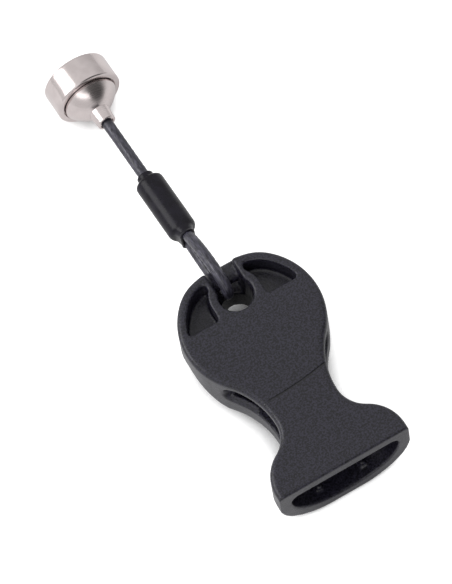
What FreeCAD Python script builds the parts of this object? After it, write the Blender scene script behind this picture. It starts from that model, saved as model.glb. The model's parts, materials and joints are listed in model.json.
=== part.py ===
import FreeCAD, Part
import math
import os

# A short magnetic tether, in millimetres. It lies on a table as it would be put down: the moulded buckle
# grip flat on its belly with its mouth at -Y, and the magnet cup on its side at +Y, one wire cable between.
# While the pieces are made the grip's mouth is at y = 0. They are centred on the table at the end.

# Grip, seen from above: flared mouth, narrow waist, round head with a flatter nose
grip_thickness = 20.1
mouth_half_width = 18.4
shoulder_radius = 10.7
flare_radius = 8.4
waist_half_width = 8.8
waist_y = 18.5
head_radius = 18.7
head_centre_y = 45.2
nose_radius = 32.0
nose_flat = 1.3
nose_corner_radius = 12.0
top_edge_radius = 1.3
belly_edge_radius = 5.5

# Grip, seen from its mouth and from its side: upright sides, then a rounded belly, and a nose that lifts
belly_depth = 5.1
belly_power = 2.3
belly_flat_cut = 0.5
nose_lift = 5.5
nose_length = 22.0

# Socket in the grip, its guide rails and its side windows
side_wall = 3.2
roof_wall = 3.6
socket_depth = 35.0
socket_corner_radius = 2.4
rail_centre_x = 6.2
rail_width = 1.4
rail_height = 2.4
rail_start_y = 3.0
rail_end_y = 30.0
window_start_y = 15.0
window_end_y = 34.5
window_roof = 2.8
window_height = 7.2
window_end_radius = 3.0
catch_rib_length = 6.5
catch_rib_height = 1.4
catch_rib_width = 1.0
catch_rib_inset = 0.9

# Crease across the top face, and the two crescent pockets in the head
crease_y = 25.4
crease_width = 0.35
crease_depth = 0.25
pocket_depth = 6.0
pocket_rim = 2.45
pocket_hole_wall = 2.4
pocket_slot_wall = 1.6
pocket_from_head_centre = 4.0
pocket_corner_radius = 0.85

# Cable slot in the nose: a round hole at its inner end, and the bar that the cable's eye goes round
slot_half_width = 3.7
slot_hole_radius = 4.5
slot_hole_from_nose = 9.3
slot_edge_radius = 0.8
slot_floor_height = 9.6
bar_top_depth = 1.0
bar_height = 4.2
bar_length_y = 5.2
bar_corner_radius = 2.0

# Cable: wire rope core in a coating, with an eye at one end
cable_diameter = 3.0
core_diameter = 2.0
eye_clearance = 0.2
eye_rise = 1.8
leg_gap = 0.1
leg_bend_radius = 8.0
upper_bow_radius = 20.0
lower_bow_radius = 40.0
leg_join_radius = 6.0

# Lengths along the tether, all measured from the bar's centre
collar_start = 15.0
legs_part_at = 18.2
sleeve_start = 17.2
sleeve_end = 34.9
upper_collar_end = 36.7
neck_start = 55.3

# Heat shrink sleeve over the crimp
sleeve_diameter = 7.6
shrink_wall = 0.45
upper_collar_diameter = 4.4
sleeve_end_radius = 0.9
ferrule_end_gap = 1.1

# Turned bell with its crimped neck
neck_length = 3.9
neck_end_radius = 2.5
neck_root_radius = 2.8
neck_lip = 0.3
jacket_in_neck = 3.2
bell_height = 4.9
bell_rim_height = 0.7
bell_rim_radius = 7.2
bell_bulge = 0.45
bell_flange_thickness = 0.9
stop_radius = 2.3
stop_length = 3.6

# Magnet cup and what it holds
cup_radius = 9.0
cup_height = 7.5
cup_wall = 0.9
cup_back_thickness = 1.2
cup_back_edge_radius = 1.0
cup_rim_edge_radius = 0.35
swivel_gap = 0.28
flange_clearance = 0.12
end_clearance = 0.05
washer_thickness = 0.4
back_plate_thickness = 1.1
magnet_radius = 6.8
magnet_recess = 0.15
potting_recess = 0.25

# How the tether lies: the eye's place along the bar, and the small turn of the cable towards -X
eye_offset_x = -1.2
tether_turn_deg = 1.62

# Worked out from the sizes above
cable_radius = cable_diameter / 2
core_radius = core_diameter / 2
leg_offset = cable_radius + leg_gap / 2
nose_y = head_centre_y + head_radius - nose_flat
half_width = max(mouth_half_width, head_radius)
slot_hole_y = nose_y - slot_hole_from_nose
bar_centre_y = nose_y - bar_length_y / 2
bar_top_z = grip_thickness - bar_top_depth
bar_centre_z = bar_top_z - bar_height / 2
bar_half_diagonal = bar_corner_radius + math.hypot(
    bar_length_y / 2 - bar_corner_radius, bar_height / 2 - bar_corner_radius)
eye_radius = bar_half_diagonal + eye_clearance + cable_radius
neck_end = neck_start + neck_length
cup_back = neck_end + bell_height
cup_bore_radius = cup_radius - cup_wall
flange_radius = cup_bore_radius - flange_clearance
cup_opening_radius = bell_rim_radius + swivel_gap
flange_start = cup_back + cup_back_thickness + end_clearance
flange_end = flange_start + bell_flange_thickness
washer_start = flange_end + end_clearance
plate_start = washer_start + washer_thickness + end_clearance
magnet_start = plate_start + back_plate_thickness
cup_front = cup_back + cup_height
ferrule_radius = sleeve_diameter / 2 - shrink_wall
ferrule_start = sleeve_start + ferrule_end_gap
ferrule_end = sleeve_end - ferrule_end_gap

UP = FreeCAD.Vector(0, 0, 1)
ALONG_X = FreeCAD.Vector(1, 0, 0)
ALONG_Y = FreeCAD.Vector(0, 1, 0)


def point(x, y, z=0.0):
    return FreeCAD.Vector(x, y, z)


def around(centre, radius, degrees):
    angle = math.radians(degrees)
    return point(centre.x + radius * math.cos(angle), centre.y + radius * math.sin(angle), centre.z)


def arc(centre, radius, start_deg, end_deg):
    middle = (start_deg + end_deg) / 2
    return Part.Arc(around(centre, radius, start_deg), around(centre, radius, middle),
                    around(centre, radius, end_deg)).toShape()


def line(start, end):
    return Part.makeLine(start, end)


# The grip's outline


def outline_face(inset):
    """Face of the plan outline, moved inwards by inset, running on past the mouth plane to -Y."""
    shoulder_centre_x = mouth_half_width - shoulder_radius
    flare_centre = point(waist_half_width + flare_radius, waist_y)
    reach = flare_radius + shoulder_radius
    shoulder_centre = point(shoulder_centre_x,
                            waist_y - math.sqrt(reach ** 2 - (flare_centre.x - shoulder_centre_x) ** 2))
    rise = head_centre_y - waist_y
    neck_radius = ((waist_half_width ** 2 + rise ** 2 - head_radius ** 2)
                   / (2 * (head_radius - waist_half_width)))
    neck_centre = point(waist_half_width + neck_radius, waist_y)
    head_centre = point(0, head_centre_y)
    nose_centre = point(0, nose_y - nose_radius)
    # The nose's corner arc touches the head's circle and the nose's larger one from inside.
    to_head = head_radius - nose_corner_radius
    to_nose = nose_radius - nose_corner_radius
    apart = head_centre_y - nose_centre.y
    corner_rise = (to_nose ** 2 - to_head ** 2 - apart ** 2) / (2 * apart)
    corner_x = math.sqrt(to_head ** 2 - corner_rise ** 2)
    corner_centre = point(corner_x, head_centre_y + corner_rise)
    corner_start_deg = math.degrees(math.atan2(corner_rise, corner_x))
    corner_end_deg = math.degrees(math.atan2(corner_centre.y - nose_centre.y, corner_x))
    shoulder_deg = math.degrees(math.atan2(flare_centre.y - shoulder_centre.y,
                                           flare_centre.x - shoulder_centre.x))
    neck_deg = math.degrees(math.atan2(rise, neck_centre.x))
    mouth_x = mouth_half_width - inset
    past_mouth = -2 * belly_edge_radius
    right = [
        line(point(mouth_x, past_mouth), point(mouth_x, shoulder_centre.y)),
        arc(shoulder_centre, shoulder_radius - inset, 0, shoulder_deg),
        arc(flare_centre, flare_radius + inset, 180 + shoulder_deg, 180),
        arc(neck_centre, neck_radius + inset, 180, 180 - neck_deg),
        arc(head_centre, head_radius - inset, -neck_deg, corner_start_deg),
        arc(corner_centre, nose_corner_radius - inset, corner_start_deg, corner_end_deg),
        arc(nose_centre, nose_radius - inset, corner_end_deg, 90),
    ]
    left = [edge.mirror(point(0, 0), ALONG_X) for edge in right]
    base = line(point(-mouth_x, past_mouth), point(mouth_x, past_mouth))
    return Part.Face(Part.Wire(Part.sortEdges(right + left + [base])[0]))


def belly_curve(reach, depth_room, floor_z):
    """Half of the cross section from the side's straight part down to the belly's lowest point."""
    side_z = floor_z + depth_room
    steps = 10
    points = []
    for step in range(steps + 1):
        angle = math.pi / 2 * step / steps
        x = reach * math.cos(angle) ** (2 / belly_power) if step < steps else 0.0
        z = side_z - depth_room * math.sin(angle) ** (2 / belly_power)
        points.append(point(x, 0, z))
    curve = Part.BSplineCurve()
    curve.interpolate(Points=points, InitialTangent=point(0, 0, -1), FinalTangent=point(-1, 0, 0))
    return curve.toShape()


def belly_prism(reach, depth_room, floor_z, start_y, end_y):
    """Everything above the rounded belly, out to reach on each side, between two places along the grip."""
    side_z = floor_z + depth_room
    top_z = grip_thickness + belly_depth
    right = belly_curve(reach, depth_room, floor_z)
    left = right.mirror(point(0, 0), ALONG_X)
    edges = [
        right,
        left,
        line(point(reach, 0, side_z), point(reach, 0, top_z)),
        line(point(-reach, 0, side_z), point(-reach, 0, top_z)),
        line(point(-reach, 0, top_z), point(reach, 0, top_z)),
    ]
    face = Part.Face(Part.Wire(Part.sortEdges(edges)[0]))
    face.translate(point(0, start_y))
    return face.extrude(point(0, end_y - start_y))


def nose_prism():
    """Everything above the underside as seen from the side: flat, then lifting to the nose."""
    bend_y = nose_y - nose_length
    ellipse = Part.Ellipse(point(0, bend_y, nose_lift), nose_length, nose_lift)
    ellipse.Axis = ALONG_X
    ellipse.XAxis = ALONG_Y
    lift = Part.ArcOfEllipse(ellipse, 1.5 * math.pi, 2 * math.pi).toShape()
    top_z = grip_thickness + belly_depth
    back_y = -2 * belly_edge_radius
    edges = [
        lift,
        line(point(0, back_y, 0), point(0, bend_y, 0)),
        line(point(0, nose_y, nose_lift), point(0, nose_y, top_z)),
        line(point(0, nose_y, top_z), point(0, back_y, top_z)),
        line(point(0, back_y, top_z), point(0, back_y, 0)),
    ]
    face = Part.Face(Part.Wire(Part.sortEdges(edges)[0]))
    face.translate(point(-2 * head_radius, 0))
    return face.extrude(point(4 * head_radius, 0))


def edges_at_height(shape, z):
    """Edges of the plan outline that lie at one height."""
    return [edge for edge in shape.Edges
            if abs(edge.BoundBox.ZMin - z) < 1e-4 and abs(edge.BoundBox.ZMax - z) < 1e-4]


def grip_blank():
    slab = outline_face(0).extrude(point(0, 0, grip_thickness))
    slab = slab.makeFillet(belly_edge_radius, edges_at_height(slab, 0))
    slab = slab.makeFillet(top_edge_radius, edges_at_height(slab, grip_thickness))
    room = grip_thickness - belly_depth + belly_flat_cut
    belly = belly_prism(half_width, room, -belly_flat_cut, -2 * belly_edge_radius, nose_y + 1)
    front = Part.makeBox(4 * head_radius, 2 * nose_y, 2 * grip_thickness,
                         point(-2 * head_radius, 0, -grip_thickness / 2))
    return slab.common(belly).common(nose_prism()).common(front)


# What is cut from the grip


def socket_space():
    """The hollow for the mating half: the outline moved in by the wall, above a floor that follows the belly."""
    floor_z = side_wall
    roof_z = grip_thickness - roof_wall
    tube = outline_face(side_wall).extrude(point(0, 0, roof_z))
    tube = tube.makeFillet(socket_corner_radius, edges_at_height(tube, roof_z))
    room = grip_thickness - belly_depth - side_wall
    floor = belly_prism(mouth_half_width - side_wall, room, floor_z, -2 * belly_edge_radius, socket_depth)
    return tube.common(floor)


def windows():
    reach = 2 * head_radius
    low_z = grip_thickness - window_roof - window_height
    cutter = Part.makeBox(reach, window_end_y - window_start_y, window_height, point(0, window_start_y, low_z))
    cutter = cutter.makeFillet(window_end_radius, [edge for edge in cutter.Edges if is_along(edge, ALONG_X)])
    inner = outline_face(side_wall + 1).extrude(point(0, 0, grip_thickness))
    right = cutter.cut(inner)
    return [right, right.mirror(point(0, 0), ALONG_X)]


def is_along(edge, direction):
    if edge.Curve.TypeId != "Part::GeomLine":
        return False
    return abs(edge.tangentAt(edge.FirstParameter).dot(direction)) > 0.999


def catch_ribs():
    """Low rib on each window's sill near the head, which the mating half's prong clicks behind."""
    sill_z = grip_thickness - window_roof - window_height
    band = outline_face(catch_rib_inset).cut(outline_face(catch_rib_inset + catch_rib_width))
    band = band.extrude(point(0, 0, catch_rib_height))
    band.translate(point(0, 0, sill_z - 0.2))
    start = Part.makeBox(4 * head_radius, catch_rib_length, grip_thickness,
                         point(-2 * head_radius, window_end_y - 1 - catch_rib_length, 0))
    return band.common(start)


def guide_rails():
    rails = []
    for side in (-1, 1):
        rail = Part.makeBox(rail_width, rail_end_y - rail_start_y, side_wall / 2 + rail_height,
                            point(side * rail_centre_x - rail_width / 2, rail_start_y, side_wall / 2))
        rails.append(rail)
    return rails


def pocket():
    """Crescent pocket on the +X side: one wall follows the rim, the other goes round the slot's hole."""
    low_y = head_centre_y + pocket_from_head_centre
    tip_x = slot_half_width + pocket_slot_wall
    height = pocket_depth + 1
    block = outline_face(pocket_rim).extrude(point(0, 0, height))
    block = block.common(Part.makeBox(head_radius, head_radius, height, point(tip_x, low_y)))
    around_hole = Part.makeCylinder(slot_hole_radius + pocket_hole_wall, height, point(0, slot_hole_y))
    below_hole = Part.makeBox(slot_hole_radius + pocket_hole_wall, head_radius, height,
                              point(0, slot_hole_y - head_radius))
    block = block.cut(around_hole).cut(below_hole)
    corners = []
    for edge in block.Edges:
        middle = edge.CenterOfMass
        if is_along(edge, UP) and (abs(middle.x - tip_x) < 1e-6 or abs(middle.y - low_y) < 1e-6):
            corners.append(edge)
    block = block.makeFillet(pocket_corner_radius, corners)
    block.translate(point(0, 0, grip_thickness - pocket_depth))
    return block


def cable_slot():
    """Hole through both faces, and a slot from it out through the nose. The bar is put back afterwards."""
    height = 2 * grip_thickness
    hole = Part.makeCylinder(slot_hole_radius, height, point(0, slot_hole_y, -grip_thickness / 2))
    channel = Part.makeBox(2 * slot_half_width, head_radius, grip_thickness,
                           point(-slot_half_width, slot_hole_y, slot_floor_height))
    return hole.fuse(channel)


def cable_bar():
    """Bar across the slot. Its outer side follows the nose, and its ends run into the slot's walls."""
    reach = slot_half_width + 1
    bar = Part.makeBox(2 * reach, bar_length_y, bar_height,
                       point(-reach, bar_centre_y - bar_length_y / 2, bar_centre_z - bar_height / 2))
    bar = bar.makeFillet(bar_corner_radius, [edge for edge in bar.Edges if is_along(edge, ALONG_X)])
    return bar.common(outline_face(0).extrude(point(0, 0, grip_thickness)))


def crease():
    return Part.makeBox(4 * head_radius, crease_width, 2 * crease_depth,
                        point(-2 * head_radius, crease_y - crease_width / 2, grip_thickness - crease_depth))


def slot_rim_edges(shape):
    """Edges where the slot and its hole meet the top face."""
    edges = []
    for edge in shape.Edges:
        box = edge.BoundBox
        on_top = abs(box.ZMin - grip_thickness) < 1e-4 and abs(box.ZMax - grip_thickness) < 1e-4
        near_slot = max(abs(box.XMin), abs(box.XMax)) < slot_hole_radius + 0.01
        if on_top and near_slot and box.YMin > slot_hole_y - slot_hole_radius - 0.01:
            edges.append(edge)
    return edges


def socket_grip():
    grip = grip_blank()
    grip = grip.cut(socket_space())
    grip = grip.fuse([rail.common(grip_blank()) for rail in guide_rails()])
    for cutter in windows():
        grip = grip.cut(cutter)
    grip = grip.fuse(catch_ribs())
    right_pocket = pocket()
    for cutter in (right_pocket, right_pocket.mirror(point(0, 0), ALONG_X), crease()):
        grip = grip.cut(cutter)
    grip = grip.cut(cable_slot())
    grip = grip.makeFillet(slot_edge_radius, slot_rim_edges(grip))
    return grip.fuse(cable_bar()).removeSplitter()


# Until it is put in place, the tether lies along local +Y with local +Z up. The sleeve's axis is at
# height 0, and the eye's centre, which is the bar's, is eye_rise above the origin.


def tether_pitch():
    """Downward tilt at which the cup's front rim just meets the table."""
    drop = cup_radius + eye_rise
    across = math.hypot(cup_front, drop)
    return math.asin(bar_centre_z / across) - math.atan2(drop, cup_front)


def place_tether(shape):
    placed = shape.copy()
    placed.translate(point(0, 0, -eye_rise))
    placed.rotate(point(0, 0), ALONG_X, -math.degrees(tether_pitch()))
    placed.rotate(point(0, 0), UP, tether_turn_deg)
    placed.translate(point(eye_offset_x, bar_centre_y, bar_centre_z))
    return placed


def side_point(along, up):
    return point(0, along, up)


def side_arc(centre_along, centre_up, radius, start_deg, end_deg):
    """Arc in the tether's upright plane, with its angles measured from the tether's direction."""
    stops = []
    for degrees in (start_deg, (start_deg + end_deg) / 2, end_deg):
        angle = math.radians(degrees)
        stops.append(side_point(centre_along + radius * math.cos(angle), centre_up + radius * math.sin(angle)))
    return Part.Arc(*stops).toShape()


def eye_leg(eye_up, bow_radius):
    """Bend outwards and long bow of one leg, from its parallel stretch to where it meets the turn."""
    bend_up = leg_offset + leg_bend_radius
    to_bend = math.hypot(legs_part_at, bend_up - eye_up)
    to_bow = bow_radius - eye_radius
    between = leg_bend_radius + bow_radius
    lean = math.atan2(bend_up - eye_up, legs_part_at)
    opening = math.acos((to_bow ** 2 + to_bend ** 2 - between ** 2) / (2 * to_bow * to_bend))
    bow_along = to_bow * math.cos(lean - opening)
    bow_up = eye_up + to_bow * math.sin(lean - opening)
    join_deg = math.degrees(math.atan2(bend_up - bow_up, legs_part_at - bow_along))
    touch_deg = math.degrees(lean - opening) + 180
    bend = side_arc(legs_part_at, bend_up, leg_bend_radius, -90, join_deg - 180)
    bow = side_arc(bow_along, bow_up, bow_radius, join_deg, touch_deg)
    return bend, bow, touch_deg


def cable_path(far_end):
    """Route of the cable: from far_end along the tether, into the crimp, round the eye and back."""
    half_step = leg_offset / 2
    step_deg = math.degrees(math.acos(1 - half_step / leg_join_radius))
    step_run = leg_join_radius * math.sin(math.radians(step_deg))
    join_far = sleeve_end - shrink_wall
    join_near = join_far - 2 * step_run
    upper_bend, upper_bow, upper_deg = eye_leg(eye_rise, upper_bow_radius)
    lower_bend, lower_bow, lower_deg = eye_leg(-eye_rise, lower_bow_radius)
    upper = [
        line(side_point(far_end, 0), side_point(join_far, 0)),
        side_arc(join_far, leg_join_radius, leg_join_radius, -90, -90 - step_deg),
        side_arc(join_near, leg_offset - leg_join_radius, leg_join_radius, 90 - step_deg, 90),
        line(side_point(join_near, leg_offset), side_point(legs_part_at, leg_offset)),
        upper_bend,
        upper_bow,
    ]
    turn = side_arc(0, eye_rise, eye_radius, upper_deg, 360 - lower_deg)
    lower_end = join_near - leg_gap
    lower = [edge.mirror(point(0, 0), UP) for edge in (lower_bow, lower_bend)]
    lower.append(line(side_point(legs_part_at, -leg_offset), side_point(lower_end, -leg_offset)))
    return Part.Wire(Part.sortEdges(upper + [turn] + lower)[0])


def swept_cable(radius, far_end):
    path = cable_path(far_end)
    first = side_point(far_end, 0)
    ends = [vertex.Point for vertex in path.OrderedVertexes]
    if (ends[0] - first).Length > 1e-6:
        path = Part.Wire(list(reversed(path.OrderedEdges)))
    circle = Part.Wire(Part.makeCircle(radius, first, ALONG_Y))
    pipe = path.makePipeShell([circle], True, False)
    drift = abs(pipe.Volume - math.pi * radius ** 2 * path.Length) / pipe.Volume
    print("cable length", round(path.Length, 2), "volume drift", round(drift, 5))
    return pipe


def turned(profile):
    """Solid of revolution about the tether's axis from (along, radius) corners."""
    corners = [point(radius, along) for along, radius in profile]
    return spun(Part.makePolygon(corners + corners[:1]))


def spun(wire):
    return Part.Face(wire).revolve(point(0, 0), ALONG_Y, 360)


def disc(start, end, radius, bore=0.0):
    return turned([(start, bore), (end, bore), (end, radius), (start, radius)])


def edges_at_radius(shape, along, radius):
    """Round edges of a turned piece at one place along it and one radius."""
    found = []
    for edge in shape.Edges:
        if edge.Curve.TypeId != "Part::GeomCircle":
            continue
        if abs(edge.Curve.Radius - radius) < 1e-4 and abs(edge.Curve.Center.y - along) < 1e-4:
            found.append(edge)
    return found


def leg_outline(along, radius, offset):
    """Upright oval round both legs: two half circles, offset above and below the axis."""
    edges = [
        arc_xz(offset, radius, 0, 180),
        line(point(-radius, 0, offset), point(-radius, 0, -offset)),
        arc_xz(-offset, radius, 180, 360),
        line(point(radius, 0, -offset), point(radius, 0, offset)),
    ]
    wire = Part.Wire(edges)
    wire.translate(point(0, along))
    return wire


def arc_xz(centre_z, radius, start_deg, end_deg):
    stops = []
    for degrees in (start_deg, (start_deg + end_deg) / 2, end_deg):
        angle = math.radians(degrees)
        stops.append(point(radius * math.cos(angle), 0, centre_z + radius * math.sin(angle)))
    return Part.Arc(*stops).toShape()


def leg_offset_at(along):
    """How far each leg's middle is from the axis, at a place on its bend."""
    run = legs_part_at - along
    return leg_offset + leg_bend_radius - math.sqrt(leg_bend_radius ** 2 - run ** 2)


def crimp_ferrule(cable):
    edge = sleeve_end_radius - shrink_wall
    body = turned([
        (ferrule_start, 0),
        (ferrule_start, ferrule_radius - edge),
        (ferrule_start + edge, ferrule_radius),
        (ferrule_end - edge, ferrule_radius),
        (ferrule_end, ferrule_radius - edge),
        (ferrule_end, 0),
    ])
    return body.cut(cable)


def shrink_sleeve(ferrule, cable):
    radius = sleeve_diameter / 2
    body = disc(sleeve_start, sleeve_end, radius)
    ends = edges_at_radius(body, sleeve_start, radius) + edges_at_radius(body, sleeve_end, radius)
    body = body.makeFillet(sleeve_end_radius, ends)
    upper = disc(sleeve_end - 1, upper_collar_end, upper_collar_diameter / 2)
    taper_end = sleeve_start + sleeve_end_radius
    lower = Part.makeLoft([
        leg_outline(taper_end, radius - leg_gap - shrink_wall, shrink_wall),
        leg_outline(collar_start, cable_radius + shrink_wall, leg_offset_at(collar_start)),
    ], True, True)
    body = body.fuse([upper, lower]).removeSplitter()
    filled = ferrule.fuse(cable)
    return body.cut(filled)


def swivel_bell():
    """Bell, from its crimped neck to the flange that the cup traps, bored for the cable and its stop."""
    rim_start = cup_back - bell_rim_height
    neck = [
        point(core_radius, neck_start),
        point(neck_end_radius - neck_lip, neck_start),
        point(neck_end_radius, neck_start + neck_lip),
        point(neck_root_radius, neck_end),
    ]
    rim = [
        point(bell_rim_radius, rim_start),
        point(bell_rim_radius, flange_start),
        point(flange_radius, flange_start),
        point(flange_radius, flange_end),
        point(core_radius, flange_end),
        point(core_radius, neck_start),
    ]
    # The bell's back is a shallow dome: an arc that stands a little outside the straight cone.
    across = rim[0] - neck[-1]
    outwards = point(across.y, -across.x).normalize()
    crown = (rim[0] + neck[-1]) / 2 + outwards * bell_bulge
    edges = [line(neck[i], neck[i + 1]) for i in range(len(neck) - 1)]
    edges.append(Part.Arc(neck[-1], crown, rim[0]).toShape())
    edges += [line(rim[i], rim[i + 1]) for i in range(len(rim) - 1)]
    bell = spun(Part.Wire(edges))
    jacket_bore = disc(neck_start - 1, neck_start + jacket_in_neck, cable_radius)
    stop_bore = disc(flange_end - stop_length, flange_end + 1, stop_radius)
    return bell.cut(jacket_bore).cut(stop_bore)


def magnet_cup():
    cup = disc(cup_back, cup_front, cup_radius)
    cup = cup.makeFillet(cup_back_edge_radius, edges_at_radius(cup, cup_back, cup_radius))
    cup = cup.makeFillet(cup_rim_edge_radius, edges_at_radius(cup, cup_front, cup_radius))
    bore = disc(cup_back + cup_back_thickness, cup_front + 1, cup_bore_radius)
    opening = disc(cup_back - 1, cup_front, cup_opening_radius)
    return cup.cut(bore).cut(opening)


def tether_pieces():
    jacket_end = neck_start + jacket_in_neck
    core_end = flange_end - end_clearance
    cable = swept_cable(cable_radius, jacket_end)
    core = swept_cable(core_radius, core_end)
    ferrule = crimp_ferrule(cable)
    pieces = {
        "cable_jacket": cable.cut(core),
        "cable_core": core,
        "crimp_ferrule": ferrule,
        "shrink_sleeve": shrink_sleeve(ferrule, cable),
        "swivel_bell": swivel_bell(),
        "cable_end_stop": disc(flange_end - stop_length, core_end, stop_radius, core_radius),
        "magnet_cup": magnet_cup(),
        "bell_washer": disc(washer_start, washer_start + washer_thickness, flange_radius),
        "back_plate": disc(plate_start, magnet_start, cup_bore_radius),
        "magnet_disc": disc(magnet_start, cup_front - magnet_recess, magnet_radius),
        "potting_ring": disc(magnet_start, cup_front - potting_recess, cup_bore_radius, magnet_radius),
    }
    return {name: place_tether(shape) for name, shape in pieces.items()}


def middle_of_table(shapes):
    """Move that brings the middle of the whole part's box to the origin, on the table."""
    box = Part.makeCompound(list(shapes)).optimalBoundingBox(False)
    return point(-(box.XMin + box.XMax) / 2, -(box.YMin + box.YMax) / 2, 0)


def main():
    parts = {"socket_grip": socket_grip()}
    parts.update(tether_pieces())
    shift = middle_of_table(parts.values())
    os.makedirs("parts", exist_ok=True)
    for name, shape in parts.items():
        placed = shape.copy()
        placed.translate(shift)
        placed.exportStep("parts/" + name + ".step")
        print(name, "solids", len(placed.Solids), "valid", placed.isValid(), "volume", round(placed.Volume, 1))
    pivot = point(eye_offset_x, bar_centre_y, bar_centre_z) + shift
    turn = math.radians(tether_turn_deg)
    pitch = tether_pitch()
    along = point(-math.sin(turn) * math.cos(pitch), math.cos(turn) * math.cos(pitch), -math.sin(pitch))
    print("shift", shift)
    print("pivot", pivot, "pivot axis", point(math.cos(turn), math.sin(turn)))
    cup_rim = point(math.cos(turn), math.sin(turn)) * (cup_radius - cup_wall / 2)
    print("cable direction", along)
    upright = point(math.sin(turn) * -math.sin(pitch), math.cos(turn) * math.sin(pitch), math.cos(pitch))
    print("neck on the swivel axis", pivot - upright * eye_rise + along * neck_start)
    print("magnet rim", pivot - upright * eye_rise + along * cup_front + cup_rim)


main()
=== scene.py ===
import json
import math
import bmesh
import bpy
from mathutils import Euler, Matrix, Vector


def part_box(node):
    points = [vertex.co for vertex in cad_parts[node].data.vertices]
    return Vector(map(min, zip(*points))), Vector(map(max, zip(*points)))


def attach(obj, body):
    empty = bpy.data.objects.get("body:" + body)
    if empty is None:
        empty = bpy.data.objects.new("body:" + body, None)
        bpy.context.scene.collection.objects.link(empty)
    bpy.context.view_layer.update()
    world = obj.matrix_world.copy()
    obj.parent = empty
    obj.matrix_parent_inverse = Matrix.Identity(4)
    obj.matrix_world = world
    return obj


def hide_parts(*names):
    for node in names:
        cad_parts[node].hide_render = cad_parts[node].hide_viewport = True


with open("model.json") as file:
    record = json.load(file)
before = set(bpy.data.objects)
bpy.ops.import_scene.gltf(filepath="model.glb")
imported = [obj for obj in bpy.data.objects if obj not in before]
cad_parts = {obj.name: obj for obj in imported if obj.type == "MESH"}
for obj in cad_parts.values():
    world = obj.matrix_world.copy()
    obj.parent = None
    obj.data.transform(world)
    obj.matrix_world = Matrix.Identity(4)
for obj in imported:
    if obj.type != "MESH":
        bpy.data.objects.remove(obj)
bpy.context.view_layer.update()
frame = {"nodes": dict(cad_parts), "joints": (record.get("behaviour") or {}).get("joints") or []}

nodes = frame["nodes"]
mm = 0.001
print("stage: frame loaded,", len(nodes), "nodes")


# Where the tether lies

# How far up the tether from the bar's middle each thing is, in mm
# The swivel joint's own point is at neckStart
tetherPlace = {
    "sleeveStart": 17.2,
    "sleeveEnd": 34.9,
    "neckStart": 55.3,
    "neckEnd": 59.2,
    "cupBack": 64.1,
    "cupFront": 71.6,
}

joints = {joint["name"]: joint for joint in frame["joints"]}
swivelPoint = Vector(joints["head_swivel"]["pos_m"])
crossways = Vector(joints["eye_pivot"]["axis"]).normalized()
alongTether = Vector(joints["head_swivel"]["axis"]).normalized()
upright = crossways.cross(alongTether)
tetherStart = swivelPoint - alongTether * tetherPlace["neckStart"] * mm
tetherTurn = Matrix((crossways, -upright, alongTether)).transposed()


def layOnTether(piece):  # lays a piece that was made about Z along the tether
    piece.data.transform(Matrix.Translation(tetherStart) @ tetherTurn.to_4x4())


def ringsPast(place, ends):  # rings of (along, radius) from (how far past that place, radius)
    return [(tetherPlace[place] + past, radius) for past, radius in ends]


# Modelling helpers

turnedMerge = 0.002  # mm, between points of a turned piece that become one


def onlySelect(piece):
    bpy.ops.object.select_all(action="DESELECT")
    piece.select_set(True)
    bpy.context.view_layer.objects.active = piece


def addPiece(name, mesh):
    piece = bpy.data.objects.new(name, mesh)
    bpy.context.collection.objects.link(piece)
    onlySelect(piece)
    return piece


def applyModifiers(piece):
    onlySelect(piece)
    for modifier in list(piece.modifiers):
        bpy.ops.object.modifier_apply(modifier=modifier.name)


def finishPiece(piece, body, node, material):
    piece.data.materials.clear()
    piece.data.materials.append(material)
    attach(piece, body)
    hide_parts(node)


def mergeNear(reach):  # in edit mode, makes one of points that are nearer than this many mm
    bpy.ops.mesh.select_all(action="SELECT")
    bpy.ops.mesh.remove_doubles(threshold=reach * mm)


def startRing(name, segments, along, radius):  # a circle in edit mode, all of it selected
    bpy.ops.object.select_all(action="DESELECT")
    bpy.ops.mesh.primitive_circle_add(vertices=segments, radius=radius * mm)
    piece = bpy.context.object
    piece.name = name
    bpy.ops.object.mode_set(mode="EDIT")
    bpy.ops.mesh.select_all(action="SELECT")
    bpy.ops.transform.translate(value=(0, 0, along * mm))
    return piece


def extrudeRing(step):  # a new ring, this many mm past the selected one
    bpy.ops.mesh.extrude_region_move(TRANSFORM_OT_translate={"value": (0, 0, step * mm)})


def widenRing(ratio):
    bpy.ops.transform.resize(value=(ratio, ratio, 1), center_override=(0, 0, 0))


def closeTurned(piece, smoothDegrees):  # the last ring lies on the first one
    mergeNear(turnedMerge)
    bpy.ops.mesh.normals_make_consistent(inside=False)
    bpy.ops.object.mode_set(mode="OBJECT")
    layOnTether(piece)
    onlySelect(piece)
    bpy.ops.object.shade_smooth_by_angle(angle=math.radians(smoothDegrees))


def turnPiece(name, look, rings):  # turned piece, from rings of (along, radius) in mm
    piece = startRing(name, look["segments"], *rings[0])
    for (along, radius), (newAlong, newRadius) in zip(rings, rings[1:]):
        extrudeRing(newAlong - along)
        widenRing(newRadius / radius)
    closeTurned(piece, look["smoothDegrees"])
    return piece


def onArc(along, across, size, degrees):  # the point on that arc at an angle
    angle = math.radians(degrees)
    return (along + size * math.cos(angle), across + size * math.sin(angle))


def arcPoints(along, across, size, fromDeg, toDeg, steps):
    turn = toDeg - fromDeg
    return [onArc(along, across, size, fromDeg + turn * i / steps) for i in range(steps + 1)]


def wayTo(azimuthDeg, elevationDeg):  # from the part towards a lamp or the camera
    azimuth = math.radians(azimuthDeg)
    elevation = math.radians(elevationDeg)
    level = math.cos(elevation)
    return Vector((math.sin(azimuth) * level, -math.cos(azimuth) * level, math.sin(elevation)))


# Shader helpers


def addNode(tree, kind, x, y, **settings):
    node = tree.nodes.new(kind)
    node.location = (x, y)
    for name, value in settings.items():
        setattr(node, name, value)
    return node


def setInputs(node, values):
    for name, value in values.items():
        node.inputs[name].default_value = value


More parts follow.
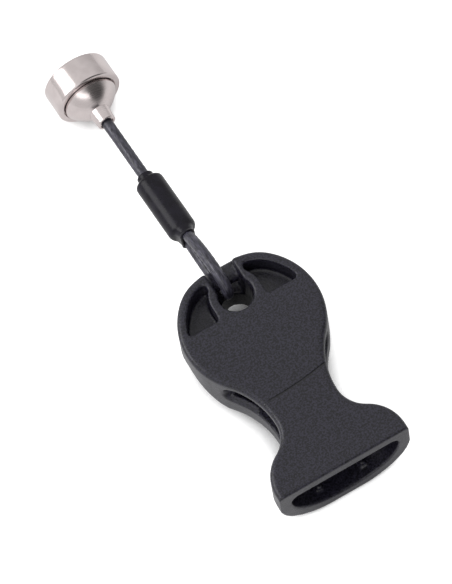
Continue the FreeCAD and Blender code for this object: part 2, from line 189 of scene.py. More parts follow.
def plug(tree, source, socket):  # the source is another node's output, or a plain value
    if isinstance(source, bpy.types.NodeSocket):
        tree.links.new(source, socket)
    else:
        socket.default_value = source


def addMath(tree, operation, x, y, *sources):
    node = addNode(tree, "ShaderNodeMath", x, y, operation=operation)
    for index, source in enumerate(sources):
        plug(tree, source, node.inputs[index])
    return node.outputs[0]


def mapRange(tree, x, y, value, fromSpan=(0, 1), toSpan=(0, 1), smooth=False):
    node = addNode(tree, "ShaderNodeMapRange", x, y)
    if smooth:
        node.interpolation_type = "SMOOTHSTEP"
    setInputs(node, {"From Min": fromSpan[0], "From Max": fromSpan[1]})
    setInputs(node, {"To Min": toSpan[0], "To Max": toSpan[1]})
    tree.links.new(value, node.inputs["Value"])
    return node.outputs[0]


def mixNumbers(tree, x, y, share, low, high):
    node = addNode(tree, "ShaderNodeMix", x, y)
    for index, source in ((0, share), (2, low), (3, high)):  # where a number's sockets are
        plug(tree, source, node.inputs[index])
    return node.outputs[0]


def mixColours(tree, x, y, share, low, high):
    node = addNode(tree, "ShaderNodeMix", x, y, data_type="RGBA")
    for index, source in ((0, share), (6, low), (7, high)):  # where a colour's sockets are
        plug(tree, (*source, 1) if isinstance(source, tuple) else source, node.inputs[index])
    return node.outputs[2]


def addBump(tree, x, y, height, bump, normal=None):  # the bump is its strength, and its depth in mm
    node = addNode(tree, "ShaderNodeBump", x, y)
    strength, depth = bump
    setInputs(node, {"Strength": strength, "Distance": depth * mm})
    tree.links.new(height, node.inputs["Height"])
    if normal is not None:
        tree.links.new(normal, node.inputs["Normal"])
    return node.outputs[0]


def newGroup(name, inputs, outputs):
    group = bpy.data.node_groups.new(name, "ShaderNodeTree")
    for socketName, kind, value in inputs:
        socket = group.interface.new_socket(name=socketName, in_out="INPUT", socket_type=kind)
        if value is not None:
            socket.default_value = value
    for socketName, kind in outputs:
        group.interface.new_socket(name=socketName, in_out="OUTPUT", socket_type=kind)
    start = addNode(group, "NodeGroupInput", -900, 0)
    end = addNode(group, "NodeGroupOutput", 600, 0)
    return group, start, end


def useGroup(tree, group, x, y, vector, values):
    node = addNode(tree, "ShaderNodeGroup", x, y, node_tree=group)
    setInputs(node, values)
    tree.links.new(vector, node.inputs["Vector"])
    return node


def newMaterial(name, look):
    material = bpy.data.materials.new(name)
    material.use_nodes = True
    tree = material.node_tree
    shader = tree.nodes["Principled BSDF"]
    shader.location = (700, 0)
    tree.nodes["Material Output"].location = (1000, 0)
    setInputs(shader, {
        "Base Color": (*look["colour"], 1),
        "Roughness": look["roughness"],
        "Metallic": look.get("metallic", 0),
        "Specular IOR Level": look.get("shine", 0.5),
    })
    return material, tree, shader


def feedShader(tree, shader, colour, rough, normal):
    tree.links.new(colour, shader.inputs["Base Color"])
    tree.links.new(rough, shader.inputs["Roughness"])
    tree.links.new(normal, shader.inputs["Normal"])


def srgb(r, g, b):  # a colour read as 0 to 255, as the shader wants it
    def one(value):
        value = value / 255
        return value / 12.92 if value <= 0.04045 else ((value + 0.055) / 1.055) ** 2.4
    return (one(r), one(g), one(b))


# Shared effects

effects = {
    "fineGrain": {
        "noise": {"Detail": 3.0, "Roughness": 0.6},
        "cells": {"Smoothness": 0.6},
        "speckleFrom": (0.41, 0.59),  # levels of the noise that become 0 and 1
    },
    "smudges": {
        "noise": {"Detail": 4.0, "Roughness": 0.55, "Distortion": 0.4},
        "maskFrom": (0.36, 0.66),
    },
    "turnedMarks": {
        "noise": {"Detail": 2.0, "Roughness": 0.7},
        "maskFrom": (0.3, 0.7),
    },
}


def scaledTexture(group, kind, x, y, vector, scale, values, **settings):
    texture = addNode(group, kind, x, y, **settings)
    setInputs(texture, values)
    group.links.new(vector, texture.inputs["Vector"])
    group.links.new(scale, texture.inputs["Scale"])
    return texture


def makeFineGrain():  # texture of a moulding: a fine height, and a speckle for the colour
    look = effects["fineGrain"]
    group, start, end = newGroup(
        "fineGrain",
        [("Vector", "NodeSocketVector", None), ("Grains per mm", "NodeSocketFloat", 3.0)],
        [("Height", "NodeSocketFloat"), ("Speckle", "NodeSocketFloat")],
    )
    vector = start.outputs["Vector"]
    scale = addMath(group, "MULTIPLY", -700, -200, start.outputs["Grains per mm"], 1 / mm)
    fine = scaledTexture(group, "ShaderNodeTexNoise", -450, 150, vector, scale, look["noise"])
    coarse = scaledTexture(group, "ShaderNodeTexVoronoi", -450, -200, vector, scale, look["cells"],
                           feature="SMOOTH_F1")
    height = addMath(group, "ADD", -150, 100, fine.outputs[0], coarse.outputs["Distance"])
    speckle = mapRange(group, -150, -150, fine.outputs[0], look["speckleFrom"])
    group.links.new(height, end.inputs["Height"])
    group.links.new(speckle, end.inputs["Speckle"])
    return group


def makeSmudges():  # large soft patches of handling, from 0 to 1
    look = effects["smudges"]
    group, start, end = newGroup(
        "smudges",
        [("Vector", "NodeSocketVector", None), ("Patches per mm", "NodeSocketFloat", 0.2)],
        [("Mask", "NodeSocketFloat")],
    )
    vector = start.outputs["Vector"]
    scale = addMath(group, "MULTIPLY", -700, -200, start.outputs["Patches per mm"], 1 / mm)
    cloud = scaledTexture(group, "ShaderNodeTexNoise", -450, 0, vector, scale, look["noise"])
    mask = mapRange(group, -150, 0, cloud.outputs[0], look["maskFrom"], smooth=True)
    group.links.new(mask, end.inputs["Mask"])
    return group


def makeTurnedMarks():  # the lathe's fine lines, round the Z axis of the vector it is given
    look = effects["turnedMarks"]
    group, start, end = newGroup(
        "turnedMarks",
        [("Vector", "NodeSocketVector", None), ("Lines per mm", "NodeSocketFloat", 8.0)],
        [("Height", "NodeSocketFloat"), ("Mask", "NodeSocketFloat")],
    )
    split = addNode(group, "ShaderNodeSeparateXYZ", -700, 0)
    group.links.new(start.outputs["Vector"], split.inputs[0])
    squareX = addMath(group, "MULTIPLY", -550, 150, split.outputs["X"], split.outputs["X"])
    squareY = addMath(group, "MULTIPLY", -550, 0, split.outputs["Y"], split.outputs["Y"])
    squares = addMath(group, "ADD", -400, 100, squareX, squareY)
    radius = addMath(group, "SQRT", -250, 100, squares)
    place = addNode(group, "ShaderNodeCombineXYZ", -100, 0)
    group.links.new(radius, place.inputs["X"])
    group.links.new(split.outputs["Z"], place.inputs["Y"])
    scale = addMath(group, "MULTIPLY", -250, -200, start.outputs["Lines per mm"], 1 / mm)
    vector = place.outputs[0]
    lines = scaledTexture(group, "ShaderNodeTexNoise", 100, 0, vector, scale, look["noise"])
    mask = mapRange(group, 300, -150, lines.outputs[0], look["maskFrom"])
    group.links.new(lines.outputs[0], end.inputs["Height"])
    group.links.new(mask, end.inputs["Mask"])
    return group


fineGrain = makeFineGrain()
smudges = makeSmudges()
turnedMarks = makeTurnedMarks()


def objectVector(tree):
    return addNode(tree, "ShaderNodeTexCoord", -1100, 0).outputs["Object"]


def tetherVector(tree):  # Object coordinates turned so that Z runs along the tether's axis
    turn = addNode(tree, "ShaderNodeMapping", -900, 0)
    back = tetherTurn.transposed()
    setInputs(turn, {"Rotation": back.to_euler("XYZ"), "Location": -(back @ tetherStart)})
    tree.links.new(objectVector(tree), turn.inputs["Vector"])
    return turn.outputs[0]


print("stage: shader groups built")


# Grip: a skin over the moulded solid, a little softer at its edges, and its crease in the finish,
# as a bump with painted shade along it
# In this piece's values and in those below, lengths are in mm, and a bump is a strength and a depth

gripSkin = {
    "mergeNear": 0.001,
    "voxel": 0.36,
    "softening": 0.5,
    "softenRounds": 4,
    "colour": srgb(13, 12, 19),
    "speckle": srgb(48, 46, 60),
    "roughness": 0.34,
    "roughFrom": (0.31, 0.37),  # to the second in the handled patches
    "patchesPerMm": 0.12,
    "grainsPerMm": 2.2,
    "grainBump": (0.7, 0.05),
    # painted shade: the crease's dark line stands in for the shade in the shallow groove
    "creaseShadeColour": srgb(8, 8, 10),
    "creaseAt": 24.4,  # from the mouth, in the middle of the waist
    "creaseTilt": 0.08,  # mm towards the head for each mm towards +X
    "creaseBow": 0.006,  # and how much that grows with each mm
    "creaseWidth": 0.38,
    "creaseBelow": (0.6, 0.2),  # under the top face, where it starts to show and shows in full
    "creaseFade": (-9.0, -5.0),  # across the grip, where it is faint and where it is in full
    "creaseFaint": 0.15,
    "creaseBump": (0.6, 0.25),
}


# The crease's mask drives its bump and its painted shade
def gripCrease(tree, vector):  # a narrow bowed line across the top face, faint at its -X end
    low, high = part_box("socket_grip")
    split = addNode(tree, "ShaderNodeSeparateXYZ", -650, -300)
    tree.links.new(vector, split.inputs[0])
    across = split.outputs["X"]
    bow = addMath(tree, "MULTIPLY", -550, -450, across, gripSkin["creaseBow"] / mm)
    bow = addMath(tree, "ADD", -500, -450, bow, gripSkin["creaseTilt"])
    bow = addMath(tree, "MULTIPLY", -450, -450, bow, across)
    middle = low.y + gripSkin["creaseAt"] * mm
    away = addMath(tree, "SUBTRACT", -450, -300, split.outputs["Y"], middle)
    away = addMath(tree, "SUBTRACT", -400, -300, away, bow)
    away = addMath(tree, "ABSOLUTE", -300, -300, away)
    width = (0.0, gripSkin["creaseWidth"] * mm)
    below = [high.z - depth * mm for depth in gripSkin["creaseBelow"]]
    ends = [place * mm for place in gripSkin["creaseFade"]]
    line = mapRange(tree, -150, -300, away, width, (1.0, 0.0), smooth=True)
    top = mapRange(tree, -150, -500, split.outputs["Z"], below)
    fade = mapRange(tree, -150, -700, across, ends, (gripSkin["creaseFaint"], 1.0))
    crease = addMath(tree, "MULTIPLY", 50, -400, line, top)
    return addMath(tree, "MULTIPLY", 200, -400, crease, fade)


def gripFinish():
    material, tree, shader = newMaterial("gripNylon", gripSkin)
    vector = objectVector(tree)
    grainValues = {"Grains per mm": gripSkin["grainsPerMm"]}
    patchValues = {"Patches per mm": gripSkin["patchesPerMm"]}
    grain = useGroup(tree, fineGrain, -650, 300, vector, grainValues)
    patches = useGroup(tree, smudges, -650, 0, vector, patchValues)
    speckle = grain.outputs["Speckle"]
    crease = gripCrease(tree, vector)
    colour = mixColours(tree, -200, 300, speckle, gripSkin["colour"], gripSkin["speckle"])
    # paints the crease's shade into the colour
    colour = mixColours(tree, 350, 200, crease, colour, gripSkin["creaseShadeColour"])
    rough = mapRange(tree, 200, 0, patches.outputs["Mask"], toSpan=gripSkin["roughFrom"])
    normal = addBump(tree, 350, -200, grain.outputs["Height"], gripSkin["grainBump"])
    depth = addMath(tree, "MULTIPLY", 350, -500, crease, -1.0)
    normal = addBump(tree, 520, -300, depth, gripSkin["creaseBump"], normal)
    feedShader(tree, shader, colour, rough, normal)
    return material


def addGrip():
    skin = addPiece("gripSkin", nodes["socket_grip"].data.copy())
    bpy.ops.object.mode_set(mode="EDIT")
    mergeNear(gripSkin["mergeNear"])
    bpy.ops.object.mode_set(mode="OBJECT")
    remesh = skin.modifiers.new("evenFaces", "REMESH")
    remesh.mode = "VOXEL"
    remesh.voxel_size = gripSkin["voxel"] * mm
    soften = skin.modifiers.new("soften", "SMOOTH")
    soften.factor = gripSkin["softening"]
    soften.iterations = gripSkin["softenRounds"]
    applyModifiers(skin)
    bpy.ops.object.shade_smooth()
    finishPiece(skin, "grip", "socket_grip", gripFinish())
    print("stage: grip,", len(skin.data.polygons), "faces")


addGrip()


# Cable: the coated rope, straight from the bell into the crimp, then round the grip's bar and back

cableRun = {
    "radius": 1.5,
    "around": 48,
    "step": 0.3,
    "shortest": 0.1,  # share of a step: a stop nearer than this to the one before is left out
    "smoothDegrees": 40,
    "strands": 6,
    "layLength": 11.0,
    "layDepth": 0.05,
    "start": (58.45, 0.0),
    # along, up and radius in mm, then from and to in degrees
    # The cable is straight between these arcs
    "arcs": [
        (34.45, 6.0, 6.0, -90.0, -119.444),
        (28.551, -4.45, 6.0, 60.556, 90.0),
        (18.2, 9.55, 8.0, -90.0, -123.937),
        (2.568, -13.68, 20.0, 56.063, 99.419),
        (0.0, 1.8, 4.308, 99.419, 259.909),
        (6.254, 36.94, 40.0, 259.909, 284.411),
        (18.2, -9.55, 8.0, 104.411, 90.0),
    ],
    "end": (28.451, -1.55),
    "colour": srgb(42, 41, 50),
    # painted highlight on the cable: lighter streaks along it stand in for the lamps' streaky
    # highlights on the coating
    "wearAndSheen": srgb(98, 96, 111),
    "roughness": 0.3,
    "roughFrom": (0.34, 0.22),  # to the second in the streaks of painted highlight
    "streaks": {"Scale": 3.5, "Detail": 3.0, "Roughness": 0.6},
    "streakStretch": (0.12, 1.0, 1.0),  # a small first number draws them out along the cable
    "sheenStreaksFrom": (0.42, 0.68),
    "streakBump": (0.35, 0.08),
    "grainsPerMm": 4.0,
    "grainBump": (0.25, 0.02),
}


def cableStops():  # even places along the cable's run
    stops = [cableRun["start"]]
    for along, up, radius, fromDeg, toDeg in cableRun["arcs"]:
        steps = round(abs(math.radians(toDeg - fromDeg)) * radius / cableRun["step"])
        stops += arcPoints(along, up, radius, fromDeg, toDeg, steps)
    stops.append(cableRun["end"])
    even = [Vector(stops[0])]
    for stop in stops[1:]:
        stop = Vector(stop)
        gap = (stop - even[-1]).length
        if gap < cableRun["shortest"] * cableRun["step"]:
            continue
        steps = max(1, round(gap / cableRun["step"]))
        before = even[-1].copy()
        even += [before.lerp(stop, i / steps) for i in range(1, steps + 1)]
    return even


def cableFinish():
    material, tree, shader = newMaterial("cableCoating", cableRun)
    place = addNode(tree, "ShaderNodeUVMap", -1100, 200, uv_map="alongCable")
    stretch = addNode(tree, "ShaderNodeMapping", -900, 200)
    setInputs(stretch, {"Scale": cableRun["streakStretch"]})
    tree.links.new(place.outputs[0], stretch.inputs["Vector"])
    streaks = addNode(tree, "ShaderNodeTexNoise", -650, 200)
    setInputs(streaks, cableRun["streaks"])
    tree.links.new(stretch.outputs[0], streaks.inputs["Vector"])
    grainValues = {"Grains per mm": cableRun["grainsPerMm"]}
    grain = useGroup(tree, fineGrain, -650, -100, objectVector(tree), grainValues)
    # the streaks' lighter colour is a painted highlight
    wearAndSheen = mapRange(tree, -400, 200, streaks.outputs[0], cableRun["sheenStreaksFrom"], smooth=True)
    colour = mixColours(tree, 200, 200, wearAndSheen, cableRun["colour"], cableRun["wearAndSheen"])
    rough = mapRange(tree, 200, 0, wearAndSheen, toSpan=cableRun["roughFrom"])
    normal = addBump(tree, 200, -200, streaks.outputs[0], cableRun["streakBump"])
    normal = addBump(tree, 400, -250, grain.outputs["Height"], cableRun["grainBump"], normal)
    feedShader(tree, shader, colour, rough, normal)
    return material


def cableRings(mesh):  # rings of points along the run, and how far along it each ring is
    stops = cableStops()
    around = cableRun["around"]
    rings = []
    travelled = []
    run = 0.0
    for i, stop in enumerate(stops):
        if i:
            run += (stop - stops[i - 1]).length
        travelled.append(run)
        ahead = stops[min(i + 1, len(stops) - 1)] - stops[max(i - 1, 0)]
        ahead.normalize()
        sideways = Vector((-ahead.y, ahead.x))
        ring = []
        for j in range(around):
            turn = 2 * math.pi * j / around
            lay = cableRun["strands"] * (turn - 2 * math.pi * run / cableRun["layLength"])
            radius = cableRun["radius"] - cableRun["layDepth"] * (0.5 - 0.5 * math.cos(lay))
            flat = stop + sideways * radius * math.cos(turn)
            spot = alongTether * flat.x + upright * flat.y + crossways * radius * math.sin(turn)
            ring.append(mesh.verts.new(tetherStart + spot * mm))
        rings.append(ring)
    return rings, travelled


def coverRings(mesh, uvLayer, rings, travelled):  # faces between the rings, with their UVs in mm
    around = cableRun["around"]
    girth = 2 * math.pi * cableRun["radius"]
    for i in range(len(rings) - 1):
        here, there = travelled[i], travelled[i + 1]
        for j in range(around):
            k = (j + 1) % around
            face = mesh.faces.new((rings[i][j], rings[i][k], rings[i + 1][k], rings[i + 1][j]))
            corners = ((here, j), (here, j + 1), (there, j + 1), (there, j))
            for loop, (distance, step) in zip(face.loops, corners):
                loop[uvLayer].uv = (distance, step / around * girth)
    mesh.faces.new(rings[0])
    mesh.faces.new(rings[-1])


def addCable():
    mesh = bmesh.new()
    uvLayer = mesh.loops.layers.uv.new("alongCable")
    rings, travelled = cableRings(mesh)
    coverRings(mesh, uvLayer, rings, travelled)
    bmesh.ops.recalc_face_normals(mesh, faces=mesh.faces)
    data = bpy.data.meshes.new("cableSkin")
    mesh.to_mesh(data)
    mesh.free()
    cable = addPiece("cableSkin", data)
    bpy.ops.object.shade_smooth_by_angle(angle=math.radians(cableRun["smoothDegrees"]))
    finishPiece(cable, "tether", "cable_jacket", cableFinish())
    print("stage: cable,", round(travelled[-1], 1), "mm long")


addCable()


# Sleeve: heat shrink over the crimp, drawn in to one cable above and to its two legs below

sleeveShell = {
    "segments": 96,
    "smoothDegrees": 35,
    # past the sleeve's start, radius and half the legs' spread, in mm
    # from inside the lower end out to the shoulder
    "lowerEnd": [
        (-0.3, 1.48, 1.62), (-2.1, 1.5, 2.2), (-2.24, 1.64, 2.22), (-2.2, 1.94, 2.22),
        (-2.05, 2.06, 2.18), (-1.85, 2.06, 2.1), (-1.65, 1.98, 2.0), (-1.2, 2.08, 1.82),
        (-0.6, 2.26, 1.58), (-0.15, 2.46, 1.34), (0.06, 2.72, 1.02), (0.2, 3.05, 0.66),
        (0.42, 3.38, 0.34), (0.72, 3.62, 0.14), (1.1, 3.76, 0.04), (1.5, 3.8, 0.0),
    ],
    # past the sleeve's end, and radius, from its body out to the upper collar and in to the cable
    "upperEnd": [
        (-11.0, 3.82), (-8.0, 3.8), (-4.5, 3.81), (-1.2, 3.8), (-0.75, 3.77), (-0.4, 3.64),
        (-0.16, 3.4), (-0.04, 3.05), (0.02, 2.5), (0.14, 2.28), (0.5, 2.2), (1.3, 2.2),
        (1.6, 2.22), (1.78, 2.14), (1.8, 1.8), (1.7, 1.52), (0.8, 1.48),
    ],
    "colour": srgb(14, 11, 21),
    "wearAndSheen": srgb(25, 22, 34),
    "roughness": 0.26,
    "roughFrom": (0.22, 0.32),  # to the second in the worn patches
    "shine": 0.25,
    "patchesPerMm": 0.35,
    "patchBump": (0.15, 0.08),
    "grainsPerMm": 1.2,
    "grainBump": (0.2, 0.03),
}


def spreadRing(piece, amount):  # moves the two halves of the selected ring apart
    mesh = bmesh.from_edit_mesh(piece.data)
    midline = 0.001 * mm  # points nearer than this to the middle stay in it
    for vert in mesh.verts:
        if vert.select and abs(vert.co.y) > midline:
            vert.co.y += amount * mm * (1 if vert.co.y > 0 else -1)
    bmesh.update_edit_mesh(piece.data)


def sleeveFinish():
    material, tree, shader = newMaterial("shrinkBlack", sleeveShell)
    vector = tetherVector(tree)
    grainValues = {"Grains per mm": sleeveShell["grainsPerMm"]}
    patchValues = {"Patches per mm": sleeveShell["patchesPerMm"]}
    grain = useGroup(tree, fineGrain, -650, 200, vector, grainValues)
    patches = useGroup(tree, smudges, -650, -100, vector, patchValues)
    mask = patches.outputs["Mask"]
    colour = mixColours(tree, 200, 200, mask, sleeveShell["colour"], sleeveShell["wearAndSheen"])
    rough = mapRange(tree, 200, 0, mask, toSpan=sleeveShell["roughFrom"])
    normal = addBump(tree, 200, -200, mask, sleeveShell["patchBump"])
    normal = addBump(tree, 400, -250, grain.outputs["Height"], sleeveShell["grainBump"], normal)
    feedShader(tree, shader, colour, rough, normal)
    return material


def addSleeve():
    start = tetherPlace["sleeveStart"]
    rings = [(start + past, radius, spread) for past, radius, spread in sleeveShell["lowerEnd"]]
    rings += [(*ring, 0.0) for ring in ringsPast("sleeveEnd", sleeveShell["upperEnd"])]
    along, radius, spread = rings[0]
    sleeve = startRing("sleeveShell", sleeveShell["segments"], along, radius)
    spreadRing(sleeve, spread)
    for newAlong, newRadius, newSpread in rings[1:]:
        extrudeRing(newAlong - along)
        spreadRing(sleeve, -spread)
        widenRing(newRadius / radius)
        spreadRing(sleeve, newSpread)
        along, radius, spread = newAlong, newRadius, newSpread
    bpy.ops.mesh.edge_face_add()
    bpy.ops.mesh.select_all(action="DESELECT")
    bpy.ops.mesh.select_non_manifold()
    bpy.ops.mesh.edge_face_add()
    closeTurned(sleeve, sleeveShell["smoothDegrees"])
    finishPiece(sleeve, "tether", "shrink_sleeve", sleeveFinish())
    print("stage: sleeve")


addSleeve()


# Finish of turned and stamped stock

nickelFinish = {
    "colour": srgb(219, 209, 208),
    "shade": srgb(212, 202, 201),
    "roughness": 0.2,
    "metallic": 1,
    "patchesPerMm": 0.3,
    "lineBump": (0.12, 0.01),
}


def turnedFinish(name, look):
    material, tree, shader = newMaterial(name, look)
    vector = tetherVector(tree)
    lineValues = {"Lines per mm": look["linesPerMm"]}
    patchValues = {"Patches per mm": look["patchesPerMm"]}
    marks = useGroup(tree, turnedMarks, -650, 200, vector, lineValues)
    patches = useGroup(tree, smudges, -650, -100, vector, patchValues)
    colour = mixColours(tree, 200, 200, patches.outputs["Mask"], look["shade"], look["colour"])
    rough = mapRange(tree, 200, 0, marks.outputs["Mask"], toSpan=look["roughFrom"])
    normal = addBump(tree, 200, -200, marks.outputs["Height"], look["lineBump"])
    feedShader(tree, shader, colour, rough, normal)
    return material


# Bell: crimped neck, flare and the flange inside the cup

bellShell = {
    "segments": 128,
    "smoothDegrees": 28,
    "neckEndRadius": 2.5,
    "neckRootRadius": 2.8,
    "lip": 0.3,
    "lipSteps": 4,
    "rimRadius": 7.2,
    "rimHeight": 0.7,
    "bulge": 0.45,  # how far the dome stands outside the straight cone
    "domeSteps": 12,
    "crispEdge": 0.1,  # a second ring this near keeps an edge crisp
    "flangeFront": 1.25,  # past the cup's back
    # past the neck's start, and radius, in mm
    "boreMouth": [(3.2, 1.5), (0.7, 1.5), (0.6, 1.84), (0.0, 1.88), (0.0, 2.2)],
    "crimpedNeck": [(0.9, 2.52), (2.4, 2.66)],
    "boreFloor": [(3.2, 1.0), (3.2, 1.5)],
    # past the cup's back, and radius, in mm
    # the flange, then the end stop's chamber and the core's bore
    "insideCup": [(1.25, 7.98), (2.15, 7.98), (2.15, 2.3), (-1.45, 2.3), (-1.45, 1.0)],
    "linesPerMm": 9.0,
    "roughFrom": (0.18, 0.3),
}


def bellRings():
    start = tetherPlace["neckStart"]
    back = tetherPlace["cupBack"]
    lip = bellShell["lip"]
    lipMiddle = bellShell["neckEndRadius"] - lip
    edge = bellShell["crispEdge"]
    steps = bellShell["domeSteps"]
    root = Vector((tetherPlace["neckEnd"], bellShell["neckRootRadius"]))
    rim = Vector((back - bellShell["rimHeight"], bellShell["rimRadius"]))
    outwards = Vector((root.y - rim.y, rim.x - root.x)).normalized()
    rings = ringsPast("neckStart", bellShell["boreMouth"])
    rings += arcPoints(start + lip, lipMiddle, lip, 180, 90, bellShell["lipSteps"])
    rings += ringsPast("neckStart", bellShell["crimpedNeck"])
    rings += [(root.x - edge, root.y), tuple(root)]
    for i in range(1, steps + 1):
        share = i / steps
        spot = root.lerp(rim, share) + outwards * bellShell["bulge"] * 4 * share * (1 - share)
        rings.append(tuple(spot))
    rings += [(rim.x + edge, rim.y), (back + bellShell["flangeFront"], rim.y)]
    rings += ringsPast("cupBack", bellShell["insideCup"])
    rings += ringsPast("neckStart", bellShell["boreFloor"])
    return rings


bell = turnPiece("bellShell", bellShell, bellRings())
bellNickel = turnedFinish("bellNickel", {**nickelFinish, **bellShell})
finishPiece(bell, "tether", "swivel_bell", bellNickel)
print("stage: bell")


# Cup: open to the front for the magnet, with the bell's round opening at the back

cupShell = {
    "segments": 160,
    "smoothDegrees": 28,
    "radius": 9.0,
    "backCorner": 0.5,
    "backSteps": 6,
    "frontCorner": 0.35,
    "frontSteps": 5,
    # past the cup's back or its front, and radius, in mm
    "backOpening": [(1.2, 7.48), (0.08, 7.48), (0.0, 7.56), (0.0, 7.8)],
    "wallFromBack": 2.5,
    "wallFromFront": -1.0,
    "frontOpening": [(0.0, 8.22), (-0.12, 8.1)],
    "bore": [(1.2, 8.1), (1.2, 7.48)],
    "linesPerMm": 7.0,
    "roughFrom": (0.13, 0.22),
}


def cupRings():
    back = tetherPlace["cupBack"]
    front = tetherPlace["cupFront"]
    radius = cupShell["radius"]
    rings = ringsPast("cupBack", cupShell["backOpening"])
    corner = cupShell["backCorner"]
    rings += arcPoints(back + corner, radius - corner, corner, 180, 90, cupShell["backSteps"])
    rings += ringsPast("cupBack", [(cupShell["wallFromBack"], radius)])
    rings += ringsPast("cupFront", [(cupShell["wallFromFront"], radius)])
    corner = cupShell["frontCorner"]
    rings += arcPoints(front - corner, radius - corner, corner, 90, 0, cupShell["frontSteps"])
    rings += ringsPast("cupFront", cupShell["frontOpening"])
    rings += ringsPast("cupBack", cupShell["bore"])
    return rings


cup = turnPiece("cupShell", cupShell, cupRings())
cupNickel = turnedFinish("cupNickel", {**nickelFinish, **cupShell})
finishPiece(cup, "magnet_head", "magnet_cup", cupNickel)
print("stage: cup")


# Finishes of the nodes that stay as they are

innerShared = {
    "metallic": 1,
    "shading": 0.78,  # share of the colour that is left in the darker patches
    "roughSpread": 0.06,
    "linesPerMm": 6.0,
    "patchesPerMm": 0.4,
    "lineBump": (0.2, 0.01),
}

innerLooks = {
    "cable_core": {"name": "ropeSteel", "colour": srgb(150, 150, 150), "roughness": 0.32},
    "crimp_ferrule": {"name": "ferruleMetal", "colour": srgb(172, 172, 175), "roughness": 0.38},
    "cable_end_stop": {"name": "stopSteel", "colour": srgb(165, 165, 168), "roughness": 0.34},
    "bell_washer": {
        "name": "washerNylon", "colour": srgb(222, 218, 208), "roughness": 0.5, "metallic": 0,
    },
    "back_plate": {"name": "plateSteel", "colour": srgb(160, 160, 162), "roughness": 0.4},
    "magnet_disc": {"name": "magnetPlating", "colour": srgb(196, 195, 194), "roughness": 0.2},
    "potting_ring": {
        "name": "pottingResin", "colour": srgb(38, 38, 40), "roughness": 0.34, "metallic": 0,
    },
}

for nodeName, ownLook in innerLooks.items():
    look = {**innerShared, **ownLook}
    spread = look["roughSpread"]
    look["roughFrom"] = (look["roughness"] - spread, look["roughness"] + spread)
    look["shade"] = tuple(value * look["shading"] for value in look["colour"])
    slots = nodes[nodeName].data.materials
    slots.clear()
    slots.append(turnedFinish(look["name"], look))
print("stage: inner finishes")


# Floor, world and lamps

floorLook = {
    "size": 4.0,  # in m
    "below": 0.1,  # how far under the part it lies, in mm
    "colour": (0.8, 0.8, 0.8),
    "roughness": 0.8,
    "shine": 0.0,
    "seenGlow": 0.9,
    "mirroredGlow": 0.22,
    "shadowReach": 12.0,  # how near, in mm, a thing takes the glow off the floor
    "shadowRays": 8,
    "clearFrom": (0.4, 0.62),  # how open the floor is, from no glow to all of it
}


def addFloor():
    level = -floorLook["below"] * mm
    bpy.ops.mesh.primitive_plane_add(size=floorLook["size"], location=(0, 0, level))
    floor = bpy.context.object
    floor.name = "floor"
    material, tree, shader = newMaterial("floorFinish", floorLook)
    path = addNode(tree, "ShaderNodeLightPath", 100, -300)
    # painted shadow: the glow fades where the part is near, so the floor darkens under and around
    # it
    near = addNode(tree, "ShaderNodeAmbientOcclusion", 0, -100, samples=floorLook["shadowRays"])
    setInputs(near, {"Distance": floorLook["shadowReach"] * mm})
    clear = mapRange(tree, 200, -100, near.outputs["AO"], floorLook["clearFrom"], smooth=True)
    camera = path.outputs["Is Camera Ray"]
    glossy = path.outputs["Is Glossy Ray"]
    seen = addMath(tree, "MULTIPLY", 300, -250, camera, floorLook["seenGlow"])
    mirrored = addMath(tree, "MULTIPLY", 300, -400, glossy, floorLook["mirroredGlow"])
    glow = addMath(tree, "ADD", 450, -300, seen, mirrored)
    glow = addMath(tree, "MULTIPLY", 550, -200, glow, clear)
    setInputs(shader, {"Emission Color": (1, 1, 1, 1)})
    tree.links.new(glow, shader.inputs["Emission Strength"])
    floor.data.materials.append(material)


addFloor()

worldLook = {
    "leftSide": 0.74,
    "rightSide": 0.6,
    "sidesFrom": (-0.8, 0.8),
    "zenith": 0.8,
    "zenithFrom": (0.1, 0.9),
    "roomWay": (0.5, -0.6, 0.625),  # towards the dark side of the room
    "roomDark": 0.12,
    "roomFrom": (0.68, 0.92),
    "seen": 1.0,  # what the camera sees past the floor
}


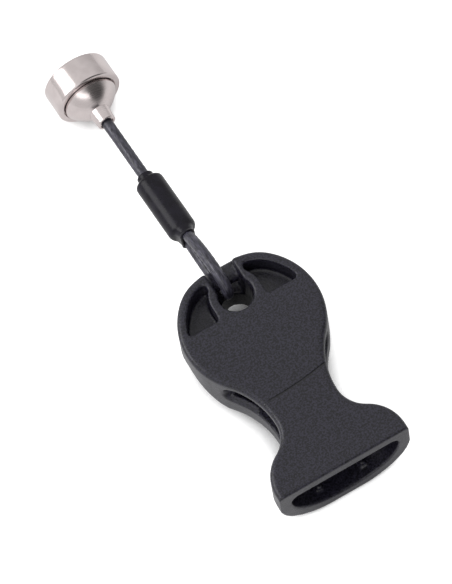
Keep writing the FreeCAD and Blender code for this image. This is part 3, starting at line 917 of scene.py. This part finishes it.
def addWorld():  # plain studio: a level at the left, right and top, and the room's dark side
    world = bpy.data.worlds.new("studio")
    bpy.context.scene.world = world
    world.use_nodes = True
    tree = world.node_tree
    background = tree.nodes["Background"]
    background.inputs["Color"].default_value = (1, 1, 1, 1)
    place = addNode(tree, "ShaderNodeTexCoord", -1100, 0).outputs["Generated"]
    split = addNode(tree, "ShaderNodeSeparateXYZ", -900, 0)
    tree.links.new(place, split.inputs[0])
    across = split.outputs["X"]
    levels = (worldLook["leftSide"], worldLook["rightSide"])
    sides = mapRange(tree, -700, 100, across, worldLook["sidesFrom"], levels, smooth=True)
    height = mapRange(tree, -700, -200, split.outputs["Z"], worldLook["zenithFrom"], smooth=True)
    blend = mixNumbers(tree, -450, 0, height, sides, worldLook["zenith"])
    way = addNode(tree, "ShaderNodeVectorMath", -700, -400, operation="DOT_PRODUCT")
    tree.links.new(place, way.inputs[0])
    way.inputs[1].default_value = worldLook["roomWay"]
    towards = way.outputs["Value"]
    dimming = (1.0, worldLook["roomDark"])
    room = mapRange(tree, -450, -300, towards, worldLook["roomFrom"], dimming, smooth=True)
    shaded = addMath(tree, "MULTIPLY", -300, -100, blend, room)
    path = addNode(tree, "ShaderNodeLightPath", -450, 300)
    seen = mixNumbers(tree, -200, 100, path.outputs["Is Camera Ray"], shaded, worldLook["seen"])
    tree.links.new(seen, background.inputs["Strength"])


addWorld()

# Lengths of the lamps are in m
lampsAim = (0, 0.03, 0.01)

lamps = {
    "sideBox": {
        "azimuth": -121.6,
        "elevation": 36.0,
        "distance": 0.75,
        "width": 0.44,
        "height": 0.5,
        "power": 1.75,
    },
    "frontBox": {
        "azimuth": -28.0,
        "elevation": 44.0,
        "distance": 0.9,
        "width": 0.7,
        "height": 0.26,
        "power": 0.75,
    },
}


def addLamps():
    for name, lamp in lamps.items():
        away = wayTo(lamp["azimuth"], lamp["elevation"])
        bpy.ops.object.light_add(type="AREA", location=Vector(lampsAim) + away * lamp["distance"])
        light = bpy.context.object
        light.name = name
        light.data.shape = "RECTANGLE"
        light.data.size = lamp["width"]
        light.data.size_y = lamp["height"]
        light.data.energy = lamp["power"]
        light.rotation_euler = away.to_track_quat("Z", "Y").to_euler()


addLamps()


# Camera at the photograph's view: its target hangs from the grip's top face and mouth

cameraPlace = {
    "azimuth": -20.02,
    "elevation": 66.77,
    "roll": -10.9,
    "target": (1.274, 63.294, -20.88),  # mm from the middle of the mouth's top edge
    "distance": 1.5,  # in m
    "lens": 366.98,
    "farthest": 10.0,  # in m, where its view ends
}


def addCamera():
    low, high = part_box("socket_grip")
    target = Vector((0, low.y, high.z)) + Vector(cameraPlace["target"]) * mm
    away = wayTo(cameraPlace["azimuth"], cameraPlace["elevation"])
    tilt = math.pi / 2 - math.radians(cameraPlace["elevation"])
    turn = Euler((tilt, 0, math.radians(cameraPlace["azimuth"]))).to_matrix()
    turn = turn @ Matrix.Rotation(math.radians(cameraPlace["roll"]), 3, "Z")
    place = target + away * cameraPlace["distance"]
    bpy.ops.object.camera_add(location=place, rotation=turn.to_euler())
    camera = bpy.context.object
    camera.name = "photoCamera"
    camera.data.lens = cameraPlace["lens"]
    camera.data.clip_end = cameraPlace["farthest"]
    bpy.context.scene.camera = camera


addCamera()
bpy.context.scene.view_settings.view_transform = "Standard"
print("stage: floor, lamps and camera set")
